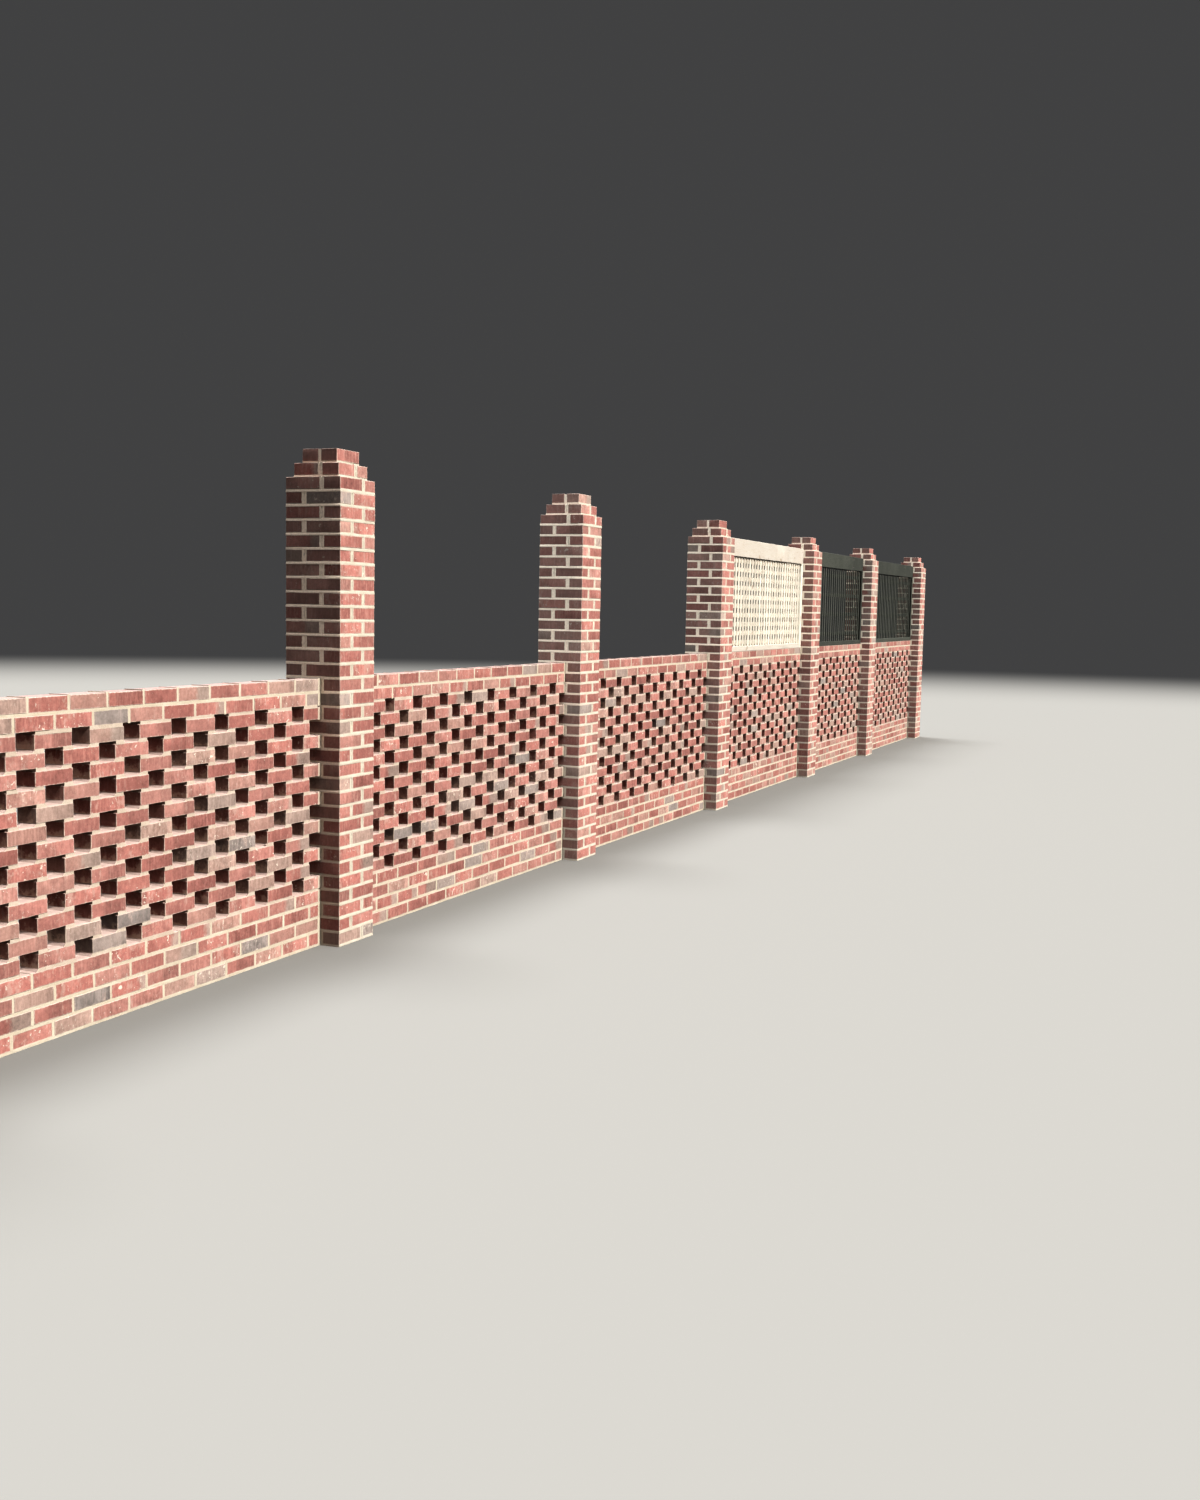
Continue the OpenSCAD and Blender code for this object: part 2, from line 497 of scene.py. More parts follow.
class Heap:
    # small solids gathered for one joined mesh; a higher redness gives more bricks the red tones
    def __init__(self, work, number):
        self.draw = np.random.default_rng(work["seed"] + number)
        self.redness = work["redness"]
        self.stores = {"point": [], "spot": [], "half": [], "luck": []}
        self.faces = []
        self.finishes = []
        self.crisp = []
        self.count = 0

    def add(self, points, spots, halves, lucks, faces, finishNumber, crisp=False):
        solids, corners = points.shape[:2]
        for solid in range(solids):
            start = self.count + solid * corners
            self.faces.extend([[start + corner for corner in face] for face in faces])
        self.finishes.extend([finishNumber] * (len(faces) * solids))
        self.crisp.append(np.full(solids * corners, crisp))
        self.count += solids * corners
        for store, new in zip(self.stores.values(), (points, spots, halves, lucks)):
            store.append(np.broadcast_to(new, points.shape).reshape(-1, 3))

    # blocks with rounded arrises: each has its middle, its size and its turn
    def addBlocks(self, middles, sizes, turns, cells, edge, wobble, finishNumber):
        steps, quads = blockGrid(cells)
        halves = np.array(sizes)[:, None, :] / 2
        lattice = [alongAxis(steps[:, a], cells[a], halves[:, :, a], edge) for a in range(3)]
        spots = np.stack(lattice, axis=-1)
        inner = np.clip(spots, edge - halves, halves - edge)
        out = spots - inner
        length = np.linalg.norm(out, axis=-1, keepdims=True)
        spots = inner + out / np.where(length > 0, length, 1) * edge
        uneven = spots + self.draw.uniform(-wobble, wobble, spots.shape)
        points = np.einsum("nab,nvb->nva", np.array(turns), uneven) + np.array(middles)[:, None, :]
        lucks = self.draw.random((len(middles), 1, 3))
        lucks[:, :, 0] **= self.redness
        self.add(points, spots, halves, lucks, quads, finishNumber, crisp=True)

    # a tube with closed ends through rings of points
    def addTube(self, rings, finishNumber):
        many, around = rings.shape[:2]
        faces = [list(range(around))[::-1], [(many - 1) * around + k for k in range(around)]]
        for ring in range(many - 1):
            for k in range(around):
                a = ring * around + k
                b = ring * around + (k + 1) % around
                faces.append([a, b, b + around, a + around])
        points = rings.reshape(1, -1, 3)
        self.add(points, points, points, self.draw.random((1, 1, 3)), faces, finishNumber)

    def build(self, name, finishes, slotName, *nodes):
        mesh = bpy.data.meshes.new(name)
        points = np.concatenate(self.stores.pop("point"))
        points[:, 2] = np.maximum(points[:, 2], 0)  # nothing dips under the ground
        sides = np.array([len(face) for face in self.faces])
        corners = np.array([corner for face in self.faces for corner in face])
        mesh.vertices.add(len(points))
        mesh.vertices.foreach_set("co", points.ravel())
        mesh.loops.add(len(corners))
        mesh.loops.foreach_set("vertex_index", corners)
        mesh.polygons.add(len(sides))
        mesh.polygons.foreach_set("loop_start", np.concatenate([[0], np.cumsum(sides)[:-1]]))
        mesh.polygons.foreach_set("material_index", self.finishes)
        mesh.polygons.foreach_set("use_smooth", np.ones(len(sides), bool))
        for word, store in self.stores.items():
            layer = mesh.attributes.new(word, "FLOAT_VECTOR", "POINT")
            layer.data.foreach_set("vector", np.concatenate(store).ravel())
        mesh.update(calc_edges=True)
        mesh.validate()
        # blocks keep crisp arrises, while tubes and lumps are smooth
        smoothSharp = readSharp(mesh, smoothDegrees)
        blockSharp = readSharp(mesh, blockDegrees)
        ends = np.empty(len(mesh.edges) * 2, int)
        mesh.edges.foreach_get("vertices", ends)
        ofBlocks = np.concatenate(self.crisp)[ends[::2]]
        sharp = np.where(ofBlocks, blockSharp, smoothSharp)
        mesh.attributes["sharp_edge"].data.foreach_set("value", sharp)
        for material in finishes:
            mesh.materials.append(material)
        piece = bpy.data.objects.new(name, mesh)
        scene.collection.objects.link(piece)
        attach(piece, "root")
        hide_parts(*nodes)


noTurn = np.eye(3)

# What all the brickwork shares: sizes in metres, leans in radians, and cells per brick
brickwork = {
    "length": 0.194,
    "width": 0.092,
    "height": 0.057,
    "bed": 0.0107,
    "headJoint": 0.0098,
    "bayEndJoint": 0.019,
    "gap": 0.090,
    "arris": 0.0022,
    "unevenFace": 0.0005,
    "outOfPlace": 0.0011,
    "lean": 0.0035,
    "mostLean": 0.009,
    "pitchShare": 0.5,
    "undersize": 0.0022,
    "undersizeShares": (1.0, 1.0, 0.4),
    "mortarSetBack": 0.0011,
    "mortarOverlap": 0.0030,
    "jointArris": 0.0012,
    "unevenJoint": 0.0005,
    "wallCells": (8, 3, 3),
    "pierCells": (6, 3, 3),
}
deep = brickwork["width"]
tall = brickwork["height"]
bed = brickwork["bed"]
overlap = brickwork["mortarOverlap"]
course = tall + bed
module = brickwork["length"] + brickwork["gap"]
bat = module / 2
jointDeep = deep - 2 * brickwork["mortarSetBack"]
wallFinishes = [brick, mortar]
pierFinishes = [pierBrick, pierMortar]
screenFinishes = [screenBrick, screenMortar]
brickNumber = 0
mortarNumber = 1
hair = 0.001  # lengths closer than this count as equal
rounding = 1e-6  # more than the rounding errors of a length


# lays bricks given as middle, size and turn, each a little out of place and out of line
def layBricks(heap, bricks, cells, loose=1.0):
    middles = np.array([part[0] for part in bricks])
    sizes = np.array([part[1] for part in bricks])
    loose = np.broadcast_to(np.reshape(loose, (-1, 1)), middles.shape)
    slips = heap.draw.uniform(-1, 1, middles.shape) * brickwork["outOfPlace"] * loose
    limit = brickwork["mostLean"]
    leans = heap.draw.normal(0, brickwork["lean"], (len(bricks), 3)).clip(-limit, limit) * loose
    turns = []
    for part, (roll, pitch, yaw) in zip(bricks, leans):
        lean = Matrix.Rotation(yaw, 3, "Z") @ Matrix.Rotation(roll, 3, "X")
        lean = lean @ Matrix.Rotation(pitch * brickwork["pitchShare"], 3, "Y")
        turns.append(np.array(Matrix.Rotation(part[2], 3, "Z") @ lean))
    undersize = heap.draw.uniform(0, brickwork["undersize"], sizes.shape) * brickwork["undersizeShares"]
    uneven = brickwork["unevenFace"]
    heap.addBlocks(middles + slips, sizes - undersize, turns, cells, brickwork["arris"], uneven, brickNumber)


# Piers: courses of four bricks set like a windmill round a core of mortar

pierWork = {
    "brickLength": 0.190,
    "joint": 0.023,
    "groove": 0.0042,
    "grooveShares": (0.2, 1.0),
    "capLength": 0.136,
    "capJoint": 0.022,
    "topJoint": 0.017,
    "jointPlaces": (-0.5, -0.33, -0.12, 0.02, 0.14, 0.35, 0.5),
    "jointSinks": (0.2, -0.25, 0.1, 1.0, 0.0, -0.25, 0.2),
    "jointLevels": (-0.5, -0.34, -0.16, 0.02, 0.20, 0.36, 0.5),
    "jointUneven": (-0.0010, 0.0008),
    "padUneven": (-0.0005, 0.0004),
    "pointsPerSide": 6,
    "coreOverlap": 0.004,
    "coreSunk": 0.004,
    "coreArris": 0.001,
    "capSunk": 0.002,
    "capCells": (6, 4, 2),
    "redness": 2.0,
    "seed": 401,
    "capSeeds": 50,  # the seeds of the caps come this much after those of the shafts
}
# a bed joint leans back towards the brick above, more so on the flanks:
# share of its height, and how far it stands out there on a flank and on a face
bedProfile = [
    (0.0, -0.0002, -0.0004),
    (0.35, 0.0002, -0.0002),
    (0.70, -0.0009, -0.0006),
    (1.0, -0.0019, -0.0010),
]


# the bricks and the upright joints of a course, drawn for the front and turned to the other sides
def windmill(middle, side, length, joint, mirrored):
    bricks = []
    joints = []
    sense = -1 if mirrored else 1
    for quarter in range(4):
        angle = quarter * math.pi / 2
        face = -(side - deep) / 2
        turn = Matrix.Rotation(angle, 3, "Z")
        brickPlace = turn @ Vector((sense * (length - side) / 2, face, 0))
        jointPlace = turn @ Vector((sense * (length + joint / 2 - side / 2), face, 0))
        bricks.append((np.array(middle) + brickPlace, (length, deep, tall), angle))
        joints.append((np.array(middle) + jointPlace, angle))
    return bricks, joints


# an upright joint of a pier: mortar struck from both sides, with a line left in the middle
def addPierJoints(heap, joints, width):
    across = width + 2 * overlap
    for middle, angle in joints:
        groove = heap.draw.uniform(*pierWork["grooveShares"]) * pierWork["groove"]
        sinks = groove * np.array(pierWork["jointSinks"])
        front = zip(pierWork["jointPlaces"], sinks)
        outline = [(share * across, -jointDeep / 2 + sink) for share, sink in front]
        outline += [(across / 2, jointDeep / 2), (-across / 2, jointDeep / 2)]
        rings = []
        for level in pierWork["jointLevels"]:
            shifts = heap.draw.uniform(*pierWork["jointUneven"], (len(outline), 2))
            height = level * (tall + 2 * overlap)
            rings.append([(x + a, y + b, height) for (x, y), (a, b) in zip(outline, shifts)])
        turn = np.array(Matrix.Rotation(angle, 3, "Z"))
        heap.addTube(np.array(rings) @ turn.T + middle, mortarNumber)


# the bed under a course: a square slab whose sides lean back towards the brick above
def addPads(heap, middles, side):
    points = pierWork["pointsPerSide"]
    shares = [-1 + 2 * k / points for k in range(points)]
    square = [(s, -1) for s in shares] + [(1, s) for s in shares]
    square += [(-s, 1) for s in shares] + [(-1, -s) for s in shares]
    square = np.array(square)
    levels = [(-overlap, *bedProfile[0][1:])]
    levels += [(share * bed, onFlank, onFace) for share, onFlank, onFace in bedProfile]
    levels += [(bed + overlap, *bedProfile[-1][1:])]
    for middle in middles:
        rings = []
        for level, onFlank, onFace in levels:
            uneven = heap.draw.uniform(*pierWork["padUneven"], (len(square), 1))
            reach = side / 2 + np.array([onFlank, onFace]) + uneven
            rings.append(np.hstack([square * reach, np.full((len(square), 1), level - bed / 2)]))
        heap.addTube(np.array(rings) + middle, mortarNumber)


def coreSide(side):
    return side - 2 * deep + pierWork["coreOverlap"]


def buildPierShaft(number):
    low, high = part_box(f"pier_{number}_shaft")
    side = high.x - low.x
    centreX = (low.x + high.x) / 2
    courses = round((high.z - low.z) / course)
    heap = Heap(pierWork, number)
    bricks = []
    joints = []
    pads = []
    for level in range(1, courses + 1):
        middle = (centreX, 0, low.z + level * course - tall / 2)
        mirrored = level % 2 == 0
        row, rowJoints = windmill(middle, side, pierWork["brickLength"], pierWork["joint"], mirrored)
        bricks += row
        joints += rowJoints
        pads.append((centreX, 0, low.z + (level - 1) * course + bed / 2))
    layBricks(heap, bricks, brickwork["pierCells"])
    addPierJoints(heap, joints, pierWork["joint"])
    addPads(heap, pads, side)
    core = (centreX, 0, (low.z + high.z) / 2 - pierWork["coreSunk"] / 2)
    size = (coreSide(side), coreSide(side), high.z - low.z - pierWork["coreSunk"])
    heap.addBlocks([core], [size], [noTurn], (1, 1, 1), pierWork["coreArris"], 0.0, mortarNumber)
    heap.build(f"pier{number}Shaft", pierFinishes, "pier_brickwork", f"pier_{number}_shaft")


# cut bricks on the wide course, then two whole bricks side by side
def buildPierCap(number):
    low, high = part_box(f"pier_{number}_cap")
    side = high.x - low.x
    centreX = (low.x + high.x) / 2
    heap = Heap(pierWork, pierWork["capSeeds"] + number)
    z = low.z + course - tall / 2
    bricks, joints = windmill((centreX, 0, z), side, pierWork["capLength"], pierWork["capJoint"], False)
    topDeep = brickwork["length"]
    topWidth = (topDeep - pierWork["topJoint"]) / 2
    whole = (topDeep, topWidth, tall)
    apart = (topWidth + pierWork["topJoint"]) / 2
    for y in (-apart, apart):
        bricks.append(((centreX, y, z + course), whole, 0.0))
    layBricks(heap, bricks, brickwork["pierCells"])
    addPierJoints(heap, joints, pierWork["capJoint"])
    addPads(heap, [(centreX, 0, low.z + bed / 2)], side)
    topSide = topDeep - 2 * brickwork["mortarSetBack"]
    topBed = (topSide, topSide, bed + 2 * overlap)
    between = (topSide, pierWork["topJoint"] + 2 * overlap, tall - pierWork["capSunk"])
    core = (coreSide(side), coreSide(side), tall)
    heights = (low.z + course + bed / 2, z + course, z)
    places = [(centreX, 0, height) for height in heights]
    sizes = [topBed, between, core]
    cells = pierWork["capCells"]
    arris = pierWork["coreArris"]
    uneven = brickwork["unevenJoint"]
    heap.addBlocks(places, sizes, [noTurn] * 3, cells, arris, uneven, mortarNumber)
    heap.build(f"pier{number}Cap", pierFinishes, "pier_brickwork", f"pier_{number}_cap")


pierCount = sum(1 for node in frame["nodes"] if node.endswith("_cap"))
for pierNumber in range(1, pierCount + 1):
    buildPierShaft(pierNumber)
    buildPierCap(pierNumber)
print("piers are laid:", pierCount)


# Solid courses of a bay

courseWork = {
    "pitch": 0.2085,
    "secondFirst": 0.150,
    "secondLast": 0.120,
    "thirdShares": (1.1, 0.9),  # the third course of a base starts and ends a little off the first
    "headCells": (2, 1, 3),
    "bedCells": (1, 2),
    "segment": 0.030,
    "looseTop": 0.25,
    "redness": 1.4,
    "seed": 700,
    "topSeeds": 50,  # the seeds of the top courses come this much after those of the bases
}


# where the bricks of a solid course start and end, given its first and last piece, or None for whole ones
def courseSpans(length, first, last):
    if first is None:
        count = round(length / courseWork["pitch"])
        marks = [length * k / count for k in range(count + 1)]
    else:
        count = round((length - first - last) / courseWork["pitch"])
        step = (length - first - last) / count
        marks = [0.0] + [first + step * k for k in range(count + 1)] + [length]
    gap = brickwork["headJoint"] / 2
    spans = [[a + gap, b - gap] for a, b in zip(marks, marks[1:])]
    spans[0][0] = brickwork["bayEndJoint"]
    spans[-1][1] = length - brickwork["bayEndJoint"]
    return spans


# a brick of the wall as middle, size and turn
def spanBrick(left, start, end, z):
    return (left + (start + end) / 2, 0, z), (end - start, deep, tall), 0.0


def addJointBlocks(heap, middles, sizes, cells):
    turns = [noTurn] * len(middles)
    arris = brickwork["jointArris"]
    uneven = brickwork["unevenJoint"]
    heap.addBlocks(middles, sizes, turns, cells, arris, uneven, mortarNumber)


# upright joints between spans, and at a pier where its end is given, through the whole wall
def addHeadJoints(heap, left, spans, z, ends):
    edges = []
    if ends[0] is not None:
        edges.append((ends[0], spans[0][0]))
    edges += [(a[1], b[0]) for a, b in zip(spans, spans[1:])]
    if ends[1] is not None:
        edges.append((spans[-1][1], ends[1]))
    middles = [(left + (a + b) / 2, 0, z) for a, b in edges]
    sizes = [(b - a + 2 * overlap, jointDeep, tall + 2 * overlap) for a, b in edges]
    addJointBlocks(heap, middles, sizes, courseWork["headCells"])


def addBedJoint(heap, left, length, z):
    cells = (round(length / courseWork["segment"]), *courseWork["bedCells"])
    size = (length, jointDeep, bed + 2 * overlap)
    addJointBlocks(heap, [(left + length / 2, 0, z)], [size], cells)


def laySolidCourses(heap, low, high, starts):
    length = high.x - low.x
    bricks = []
    loose = []
    for level, (first, last) in enumerate(starts):
        z = high.z - (len(starts) - level - 0.5) * course + bed / 2
        spans = courseSpans(length, first, last)
        for a, b in spans:
            bricks.append(spanBrick(low.x, a, b, z))
            loose.append(courseWork["looseTop"] if level == len(starts) - 1 else 1.0)
        addHeadJoints(heap, low.x, spans, z, (0.0, length))
        if z - course / 2 > low.z - hair:
            addBedJoint(heap, low.x, length, z - course / 2)
    layBricks(heap, bricks, brickwork["wallCells"], loose)


def buildBase(number):
    low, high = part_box(f"bay_{number}_base")
    heap = Heap(courseWork, number)
    half = courseWork["pitch"] / 2
    first, last = courseWork["thirdShares"]
    starts = [(half, half), (None, None), (half * first, half * last), (None, None)]
    laySolidCourses(heap, low, high, starts)
    heap.build(f"bay{number}Base", wallFinishes, "wall_brickwork", f"bay_{number}_base")


def buildTopCourses(number):
    low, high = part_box(f"bay_{number}_top_courses")
    heap = Heap(courseWork, courseWork["topSeeds"] + number)
    starts = [(courseWork["secondFirst"], courseWork["secondLast"]), (None, None)]
    laySolidCourses(heap, low, high, starts)
    heap.build(f"bay{number}TopCourses", wallFinishes, "wall_brickwork", f"bay_{number}_top_courses")


# The pierced rows of a bay. A film of mortar lies on the sills, and a mound is a dropping on it.

screenWork = {
    "film": (0.0006, 0.0022),
    "filmUneven": (0.75, 1.25),
    "filmGrit": 0.0005,
    "filmSetBack": 0.0026,
    "filmRim": 0.002,
    "filmRimTall": 0.0003,
    "filmRoot": 0.0050,
    "filmInset": 0.009,
    "mound": (0.001, 0.005),
    "moundChance": 0.30,
    "moundPlace": (0.35, 0.7),
    "moundCrest": (0.006, 0.024),
    "moundLength": 0.020,
    "moundDepth": 0.014,
    "frontUneven": (-0.0006, 0.0008),
    "shoulder": 0.62,
    "shrink": (0.001, 0.007),
    "lumpChance": 0.05,
    "lumpCells": 3,
    "lumpSize": (0.003, 0.007),
    "lumpShape": (1.5, 0.8, 0.9),
    "lumpUneven": (0.75, 1.2),
    "lumpBeside": 0.003,
    "lumpDeep": (-0.043, -0.030),
    "lumpHeight": (0.004, 0.009),
    "lumpFromPier": 0.02,
    "column": 0.018,
    "redness": 1.25,
    "seed": 900,
}


# odd rows start with a hole and end with a bat, even rows the other way round
def rowSpans(length, row):
    gap = brickwork["gap"]
    endJoint = brickwork["bayEndJoint"]
    first = 0.0 if row % 2 else bat
    count = round((length - gap - bat) / module)
    spans = [(first + gap + k * module, first + (k + 1) * module) for k in range(count)]
    if row % 2:
        return spans + [(length - bat, length - endJoint)]
    return [(endJoint, bat)] + spans


# mortar on top of one stretch of bricks: full where a brick bears on it, a film with droppings elsewhere
def addBed(heap, left, length, start, end, covers, z):
    draw = heap.draw
    work = screenWork
    full = bed + overlap
    columns = []
    marks = sorted({start, end} | {edge for cover in covers for edge in cover if start < edge < end})
    for a, b in zip(marks, marks[1:]):
        covered = any(c <= a + rounding and b <= d + rounding for c, d in covers)
        count = max(2, round((b - a) / work["column"]))
        if covered:
            places = np.linspace(a, b, count + 1)
            places[0] += draw.uniform(*work["shrink"]) * (a > hair)
            places[-1] -= draw.uniform(*work["shrink"]) * (b < length - hair)
            columns += [(x, full, 0.0, 0.0) for x in places]
            continue
        film = draw.uniform(*work["film"])
        mound = draw.uniform(*work["mound"]) * (draw.random() < work["moundChance"])
        middle = draw.uniform(*work["moundPlace"]) * (b - a) + a
        for x in np.linspace(a + work["filmInset"], b - work["filmInset"], count):
            swell = math.exp(-((x - middle) / work["moundLength"]) ** 2)
            up = film * draw.uniform(*work["filmUneven"])
            columns.append((x, up, mound * swell, draw.uniform(*work["moundCrest"])))
    rings = []
    for x, up, mound, crest in columns:
        bearing = up == full
        setBack = brickwork["mortarSetBack"] if bearing else work["filmSetBack"]
        reach = deep / 2 - setBack
        front, back = reach - draw.uniform(*work["frontUneven"], 2)
        tops = []
        for y in (-front, -front * work["shoulder"], crest, back * work["shoulder"], back):
            drop = mound * math.exp(-((y - crest) / work["moundDepth"]) ** 2)
            edge = 0.0 if bearing or abs(y) < reach - work["filmRim"] else up - work["filmRimTall"]
            grit = 0.0 if bearing else draw.uniform(-work["filmGrit"], work["filmGrit"])
            tops.append((x, y, z + up - edge + drop + grit))
        floor = z - (overlap if bearing else work["filmRoot"])
        rings.append([(x, -front, floor)] + tops + [(x, back, floor)])
    rings = np.array(rings)
    rings[:, :, 0] += left
    heap.addTube(rings[:, ::-1], mortarNumber)


# mortar that was squeezed out beside a bearing and not cut off
def addLumps(heap, places):
    work = screenWork
    cells = work["lumpCells"]
    steps, quads = blockGrid((cells, cells, cells))
    ball = 2 * steps / cells - 1
    ball = ball / np.linalg.norm(ball, axis=1, keepdims=True)
    for place in places:
        size = heap.draw.uniform(*work["lumpSize"]) * np.array(work["lumpShape"])
        uneven = heap.draw.uniform(*work["lumpUneven"], (len(ball), 1))
        points = (ball * size * uneven + place)[None]
        heap.add(points, points, points, heap.draw.random((1, 1, 3)), quads, mortarNumber)


def buildScreen(number):
    work = screenWork
    low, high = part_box(f"bay_{number}_screen")
    length = high.x - low.x
    rows = round((high.z - low.z - bed) / course)
    heap = Heap(work, number)
    beside = work["lumpBeside"]
    fromPier = work["lumpFromPier"]
    bricks = []
    lumps = []
    lower = [(0.0, length)]
    for row in range(1, rows + 2):
        bedZ = low.z + (row - 1) * course
        upper = rowSpans(length, row) if row <= rows else [(0.0, length)]
        for start, end in lower:
            addBed(heap, low.x, length, start, end, upper, bedZ)
        if row > rows:
            break
        z = bedZ + bed + tall / 2
        for a, b in upper:
            bricks.append(spanBrick(low.x, a, b, z))
            for x in (a - beside, b + beside):
                if heap.draw.random() < work["lumpChance"] and fromPier < x < length - fromPier:
                    y = heap.draw.uniform(*work["lumpDeep"]) * heap.draw.choice([-1, 1])
                    lumps.append((low.x + x, y, bedZ + heap.draw.uniform(*work["lumpHeight"])))
        if row % 2:
            addHeadJoints(heap, low.x, [upper[-1]], z, (None, length))
        else:
            addHeadJoints(heap, low.x, [upper[0]], z, (0.0, None))
        lower = upper
    layBricks(heap, bricks, brickwork["wallCells"])
    addLumps(heap, lumps)
    heap.build(f"bay{number}Screen", screenFinishes, "wall_brickwork", f"bay_{number}_screen")


bayCount = sum(1 for node in frame["nodes"] if node.endswith("_screen"))
for bayNumber in range(1, bayCount + 1):
    buildBase(bayNumber)
    buildScreen(bayNumber)
    buildTopCourses(bayNumber)
print("bays are laid:", bayCount)


# Timber: spot runs along the grain in x

timberLook = {
    "constants": {"Specular IOR Level": 0.35},
    "apart": 23.0,
    "bendNoise": (5.0, 1.0, 0.5, (0.5, 1.0, 1.0)),
    "bendShare": 0.03,
    "ringNoise": (150.0, 2.0, 0.5, (0.06, 1.0, 1.0)),
    "noises": [
        (900.0, 2.0, 0.6, (0.03, 1.0, 1.0)),  # fibres
        (4.0, 2.0),  # clouds
        (17.0, 0.0, 0.5, (0.6, 1.0, 1.0)),  # knots, the rare high spots
    ],
    "ringEdge": (0.52, 0.68),
    "ringShare": 0.55,
    "fibreFade": (0.25, 0.75, 0.86, 1.12),
    "brightness": (0.88, 1.10),
    "toneShare": 0.3,
    "cloudEdge": (0.4, 0.85),
    "knotEdge": (0.74, 0.80),
    "sideEdge": (0.6, 0.9),
    "reliefParts": (0.6, 0.5, 0.4),  # fibres, rings and, the other way, knots
}

newTimberLook = {
    **timberLook,
    "colour": (0.356, 0.324, 0.285),
    "paleColour": (0.374, 0.350, 0.312),
    "grainColour": (0.300, 0.256, 0.205),
    "knotColour": (0.146, 0.093, 0.058),
    "knotShare": 0.5,
    "sidePaintedLightColour": (0.820, 0.760, 0.650),
    "rough": 0.62,
    "relief": (0.0006, 0.8),
}

# the laths are a little yellower than the board and the frame
newLathLook = {
    **newTimberLook,
    "colour": (0.348, 0.316, 0.270),
    "paleColour": (0.385, 0.352, 0.306),
    "grainColour": (0.310, 0.270, 0.218),
}

# weathered grey-green wood with painted shade: its colours are darker than the wood itself, standing for the
# shade over the open panels
oldShadedTimberLook = {
    **timberLook,
    "colour": (0.022, 0.025, 0.020),
    "paleColour": (0.035, 0.038, 0.031),
    "grainColour": (0.013, 0.015, 0.012),
    "knotColour": (0.023, 0.022, 0.020),
    "knotShare": 0.4,
    "sidePaintedLightColour": None,
    "rough": 0.85,
    "relief": (0.0012, 0.8),
}


def timberFinish(name, look):
    finish = newFinish(name)
    fade = finish.fade
    mix = finish.mix
    luck = finish.read("luck")
    tone = luck.parts()[0]
    ownPlace = finish.read("spot") + luck * look["apart"]
    bent = ownPlace + finish.noise(ownPlace, *look["bendNoise"]) * look["bendShare"]
    rings = finish.noise(bent, *look["ringNoise"])
    fibres, clouds, knots = finish.noises(ownPlace, *look["noises"])
    knots = fade(knots, *look["knotEdge"])
    pale = fade(clouds + tone * look["toneShare"], *look["cloudEdge"])
    colour = mix(pale, look["colour"], look["paleColour"])
    colour = mix(fade(rings, *look["ringEdge"]) * look["ringShare"], colour, look["grainColour"])
    colour = colour * fade(fibres, *look["fibreFade"]) * finish.spread(tone, *look["brightness"])
    colour = mix(knots * look["knotShare"], colour, look["knotColour"])
    # painted light: the sides of the new boards and laths are painted paler, standing for light bounced
    # between the laths
    if look["sidePaintedLightColour"]:
        sideways = fade(abs(finish.facing()[0]), *look["sideEdge"])
        colour = mix(sideways, colour, look["sidePaintedLightColour"])
    byFibres, byRings, byKnots = look["reliefParts"]
    height = fibres * byFibres + rings * byRings - knots * byKnots
    return finish.bumpy(colour, look["rough"], height, look)


nailLook = {
    "steelColour": (0.20, 0.19, 0.18),
    "rustColour": (0.16, 0.085, 0.05),
    "rustNoise": (260.0, 3.0),
    "rustEdge": (0.42, 0.62),
    "rough": (0.45, 0.85),
    "relief": (0.0004, 0.6),
    "constants": {"Metallic": 0.6},
}


def nailFinish(name, look):
    finish = newFinish(name)
    rust = finish.fade(finish.noise(finish.place(), *look["rustNoise"]), *look["rustEdge"])
    colour = finish.mix(rust, look["steelColour"], look["rustColour"])
    rough = finish.spread(rust, *look["rough"])
    return finish.bumpy(colour, rough, rust, look)


newTimber = timberFinish("pineNew", newTimberLook)
newLath = timberFinish("pineLath", newLathLook)
oldShadedTimber = timberFinish("pineWeathered", oldShadedTimberLook)
nailSteel = nailFinish("nailSteel", nailLook)

panelWork = {
    # the pitches are those of the upright and of the level laths
    "close": {"timber": newTimber, "laths": newLath, "slot": "new_timber", "pitches": (0.0785, 0.0785)},
    "open": {
        "timber": oldShadedTimber,
        "laths": oldShadedTimber,
        "slot": "weathered_timber",
        "pitches": (0.0875, 0.204),
    },
    "closePanels": ("bay_4",),
    "buttJoint": 0.79,
    "buttGap": 0.0015,
    "buttBack": 0.0012,
    "buttLower": 0.001,
    "boardArris": 0.003,
    "segment": 0.10,
    "stileSegment": 0.08,
    "lath": 0.038,
    "lathWander": 0.0015,
    "lathArris": 0.0018,
    "levelSegment": 0.20,
    "uneven": 0.00027,
    "nailRadius": 0.0042,
    "nailSides": 10,
    "nailProfile": ((1.0, -0.003), (1.0, 0.0006), (0.7, 0.0014)),
    "nailChance": 0.92,
    "nailWander": 0.006,
    "nailFromLaths": 0.030,
    "nailHeights": (0.02, 0.30, 0.62),
    "nailFromEdge": 0.035,
    "nailsAtButt": (-0.022, 0.024),
    "lathNail": 0.018,
    "redness": 1.0,
    "seed": 1200,
    "seedStep": 10,  # from one panel to the next
}
timberNumber = 0
nailNumber = 0
uprightTurn = np.array(Matrix.Rotation(-math.pi / 2, 3, "Y"))


# boards given as low and high corners, their length along x or, for an upright, along z
def addBoards(heap, corners, upright, segment, arris):
    for low, high in corners:
        low = np.array(low)
        high = np.array(high)
        size = high - low
        if upright:
            size = size[[2, 1, 0]]
        cells = (max(roundedCells, round(size[0] / segment)), roundedCells, roundedCells)
        turn = uprightTurn if upright else noTurn
        heap.addBlocks([(low + high) / 2], [size], [turn], cells, arris, panelWork["uneven"], timberNumber)


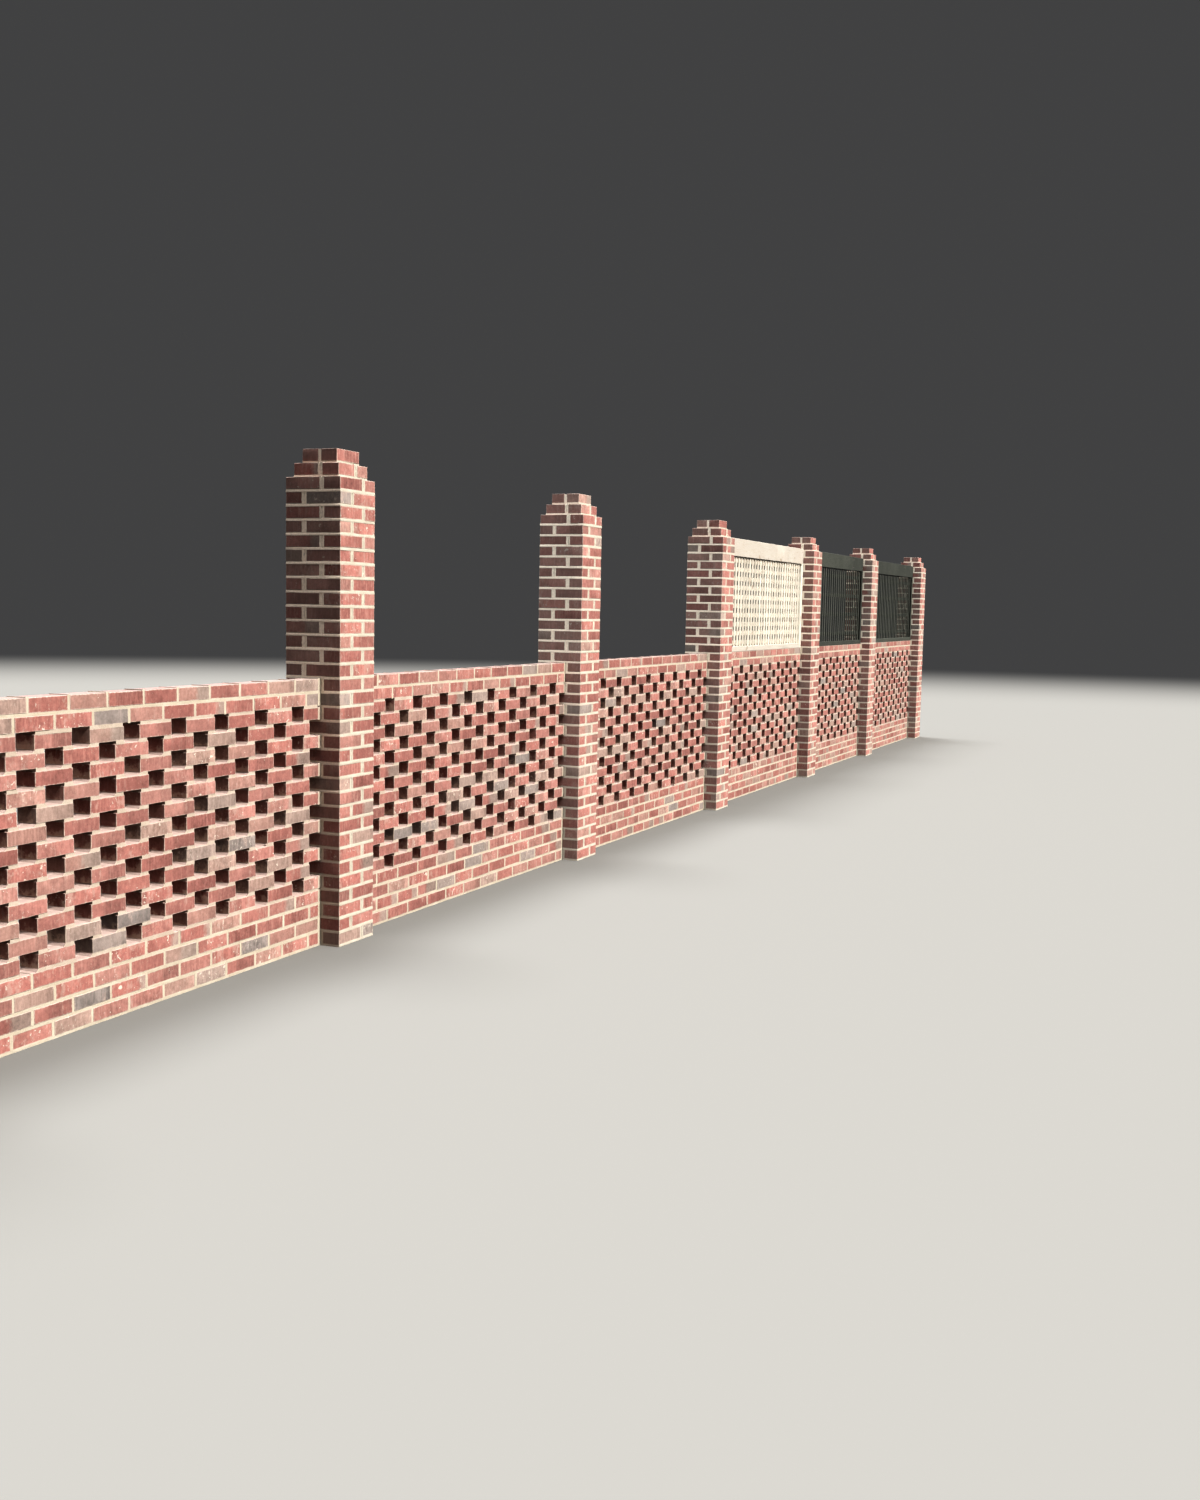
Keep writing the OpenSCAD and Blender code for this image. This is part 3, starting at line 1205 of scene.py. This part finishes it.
def stripStarts(width, pitch):
    count = math.floor((width - panelWork["lath"]) / pitch + rounding)
    first = (width - panelWork["lath"] - count * pitch) / 2
    return [first + k * pitch for k in range(count + 1)]


# a flat-topped nail head, its face to the front
def addNails(heap, places):
    around = panelWork["nailSides"]
    for x, y, z in places:
        rings = []
        for share, out in panelWork["nailProfile"]:
            radius = panelWork["nailRadius"] * share
            ring = []
            for k in range(around):
                angle = 2 * math.pi * k / around
                ring.append((x + radius * math.cos(angle), y - out, z + radius * math.sin(angle)))
            rings.append(ring)
        heap.addTube(np.array(rings), nailNumber)


def buildPanel(number):
    work = panelWork
    bay = f"bay_{number}"
    kind = work["close" if bay in work["closePanels"] else "open"]
    pitch, levelPitch = kind["pitches"]
    heapNumber = work["seedStep"] * number
    segment = work["segment"]
    arris = work["boardArris"]

    # the board is in two lengths, the second a little behind the first
    low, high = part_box(f"{bay}_board")
    butt = low.x + (high.x - low.x) * work["buttJoint"]
    halfGap = work["buttGap"] / 2
    back = work["buttBack"]
    lower = work["buttLower"]
    heap = Heap(work, heapNumber)
    lengths = [(low, (butt - halfGap, high.y, high.z))]
    lengths.append(((butt + halfGap, low.y + back, low.z + lower), (high.x, high.y, high.z - lower)))
    addBoards(heap, lengths, False, segment, arris)
    heap.build(f"bay{number}Board", [kind["timber"]], kind["slot"], f"{bay}_board")

    frameLow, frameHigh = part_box(f"{bay}_frame")
    lathLow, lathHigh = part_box(f"{bay}_lattice")
    heap = Heap(work, heapNumber + 1)
    stiles = []
    for a, b in ((frameLow.x, lathLow.x), (lathHigh.x, frameHigh.x)):
        stiles.append(((a, frameLow.y, frameLow.z), (b, frameHigh.y, frameHigh.z)))
    rail = [((lathLow.x, frameLow.y, frameLow.z), (lathHigh.x, frameHigh.y, lathLow.z))]
    addBoards(heap, stiles, True, work["stileSegment"], arris)
    addBoards(heap, rail, False, segment, arris)
    heap.build(f"bay{number}Frame", [kind["timber"]], kind["slot"], f"{bay}_frame")

    heap = Heap(work, heapNumber + 2)
    middleY = (lathLow.y + lathHigh.y) / 2
    width = work["lath"]
    wander = work["lathWander"]
    uprights = []
    for start in stripStarts(lathHigh.x - lathLow.x, pitch):
        x = lathLow.x + start + heap.draw.uniform(-wander, wander)
        uprights.append(((x, lathLow.y, lathLow.z), (x + width, middleY, lathHigh.z)))
    levels = []
    for start in stripStarts(lathHigh.z - lathLow.z, levelPitch):
        z = lathLow.z + start + heap.draw.uniform(-wander, wander)
        levels.append(((lathLow.x, middleY, z), (lathHigh.x, lathHigh.y, z + width)))
    addBoards(heap, uprights, True, segment, work["lathArris"])
    addBoards(heap, levels, False, work["levelSegment"], work["lathArris"])
    heap.build(f"bay{number}Lattice", [kind["laths"]], kind["slot"], f"{bay}_lattice")

    heap = Heap(work, heapNumber + 3)
    nails = []
    boardHeights = (low.z + work["nailFromEdge"], high.z - work["nailFromEdge"])
    heights = [frameLow.z + up for up in work["nailHeights"]]
    wander = work["nailWander"]
    for x in (lathLow.x - work["nailFromLaths"], lathHigh.x + work["nailFromLaths"]):
        for z in (*heights, *boardHeights):
            nails.append((x + heap.draw.uniform(-wander, wander), low.y, z))
    left, right = work["nailsAtButt"]
    for z in boardHeights:
        nails += [(butt + left, low.y, z), (butt + right, low.y + back, z)]
    nails = [nail for nail in nails if heap.draw.random() < work["nailChance"]]
    # every other upright lath is nailed at both its ends
    lathHeights = (lathLow.z + work["lathNail"], lathHigh.z - work["lathNail"])
    for start, end in uprights[::2]:
        nails += [((start[0] + end[0]) / 2, lathLow.y, z) for z in lathHeights]
    addNails(heap, nails)
    heap.build(f"bay{number}Nails", [nailSteel], kind["slot"], f"{bay}_frame")


panelNumbers = [int(node.split("_")[1]) for node in frame["nodes"] if node.endswith("_board")]
for panelNumber in sorted(panelNumbers):
    buildPanel(panelNumber)
print("panels are nailed up:", sorted(panelNumbers))


# The camera stands where the photograph was taken from.

cameraPlace = {
    "location": (-11.6726, -4.0610, 1.6540),
    "yaw": 66.9786,
    "pitch": -5.4622,
    "roll": 1.1111,
    "focalPixels": 1503.2,
    "longSidePixels": 1500,
    "sensorWidth": 36,
    "nearest": 0.05,
    "furthest": 900,
}


def aimCamera(place):
    data = bpy.data.cameras.new("camera")
    data.sensor_width = place["sensorWidth"]
    data.lens = place["focalPixels"] / place["longSidePixels"] * data.sensor_width
    data.clip_start = place["nearest"]
    data.clip_end = place["furthest"]
    yaw, pitch, roll = [math.radians(place[word]) for word in ("yaw", "pitch", "roll")]
    forward = Vector((math.sin(yaw) * math.cos(pitch), math.cos(yaw) * math.cos(pitch), math.sin(pitch)))
    level = Vector((math.cos(yaw), -math.sin(yaw), 0))
    rise = level.cross(forward)
    right = level * math.cos(roll) + rise * math.sin(roll)
    up = rise * math.cos(roll) - level * math.sin(roll)
    matrix = Matrix((right, up, -forward)).transposed().to_4x4()
    matrix.translation = Vector(place["location"])
    camera = bpy.data.objects.new("camera", data)
    scene.collection.objects.link(camera)
    camera.matrix_world = matrix
    scene.camera = camera


# A high soft key from the front, a weaker one from behind, one from the left for the pieces
# further off, and a fill that is strongest overhead
lightWork = {
    "key": {"side": 3.0, "height": 47.0, "strength": 8.45, "angle": 6.0, "colour": (1.0, 0.965, 0.91)},
    "back": {"side": 150.0, "height": 70.0, "strength": 5.0, "angle": 25.0, "colour": (1, 1, 1)},
    "far": {"side": -78.0, "height": 40.0, "strength": 1.50, "angle": 30.0, "colour": (0.86, 0.96, 1.0)},
    "farPieces": ("pier3", "pier4", "pier5", "pier6", "pier7", "bay4Board", "bay4Frame", "bay4Lattice"),
    "fill": [
        (0.00, (0.091, 0.087, 0.082)),
        (0.49, (0.091, 0.087, 0.082)),
        (0.52, (0.052, 0.052, 0.053)),
        (0.75, (0.150, 0.150, 0.152)),
        (0.86, (0.600, 0.600, 0.606)),
        (0.93, (1.700, 1.700, 1.706)),
        (1.00, (4.800, 4.800, 4.810)),
    ],
    "backdropColour": (0.072, 0.072, 0.073),
    "floorColour": (0.112, 0.111, 0.107),
    "floorRough": 0.95,
    "floorSize": 1400,
    "floorRadius": 46.0,
    "floorFade": 0.62,
}


def addSun(name, side, height, strength, angle, colour):
    data = bpy.data.lights.new(name, "SUN")
    data.energy = strength
    data.angle = math.radians(angle)
    data.color = colour
    lamp = bpy.data.objects.new(name, data)
    scene.collection.objects.link(lamp)
    a = math.radians(side)
    h = math.radians(height)
    toLamp = Vector((math.sin(a) * math.cos(h), -math.cos(a) * math.cos(h), math.sin(h)))
    lamp.rotation_mode = "QUATERNION"
    lamp.rotation_quaternion = toLamp.to_track_quat("Z", "Y")
    return lamp


def addSky(work):
    sky = Finish(bpy.data.worlds.new("studio"))
    scene.world = sky.owner
    height = sky.node("TexCoord", {}, {}, "Generated").parts()[2]
    fill = sky.ramp(height * 0.5 + 0.5, work["fill"])  # its stops run from straight down to overhead
    seen = sky.node("LightPath", {}, {}, "Is Camera Ray")  # what the camera sees is the plain backdrop
    colour = sky.mix(seen, fill, work["backdropColour"])
    background = sky.node("Background", {}, {"Color": colour})
    sky.node("OutputWorld", {}, {"Surface": background})


# the floor turns into the backdrop far away
def addFloor(work):
    finish = newFinish("floorPale")
    away = finish.node("VectorMath", {"operation": "LENGTH"}, {0: finish.place()}, "Value")
    gone = finish.fade(away / work["floorRadius"], work["floorFade"], 1.0)
    lit = finish.mix(gone, work["floorColour"], (0, 0, 0))
    glow = finish.mix(gone, (0, 0, 0), work["backdropColour"])
    sockets = {"Base Color": lit, "Roughness": work["floorRough"], "Specular IOR Level": 0.0}
    material = finish.surface({**sockets, "Emission Color": glow, "Emission Strength": 1.0})
    middle = (*cameraPlace["location"][:2], 0)
    bpy.ops.mesh.primitive_plane_add(size=work["floorSize"], location=middle)
    floor = bpy.context.object
    floor.name = "floor"
    floor.data.materials.append(material)
    floor.visible_diffuse = False  # so that the lit floor doesn't wash out the shaded sides


def addStudio(work):
    addSun("key", **work["key"])
    addSun("back", **work["back"])
    far = addSun("far", **work["far"])  # lifts the shaded flanks of the piers further off
    farPieces = bpy.data.collections.new("farPieces")
    far.light_linking.receiver_collection = farPieces
    for piece in scene.objects:
        if piece.name.startswith(work["farPieces"]):
            farPieces.objects.link(piece)
    addSky(work)
    addFloor(work)
    scene.view_settings.view_transform = "Standard"
    scene.view_settings.look = "High Contrast"  # as a phone camera renders it


aimCamera(cameraPlace)
addStudio(lightWork)
print("camera, lights and floor are set")
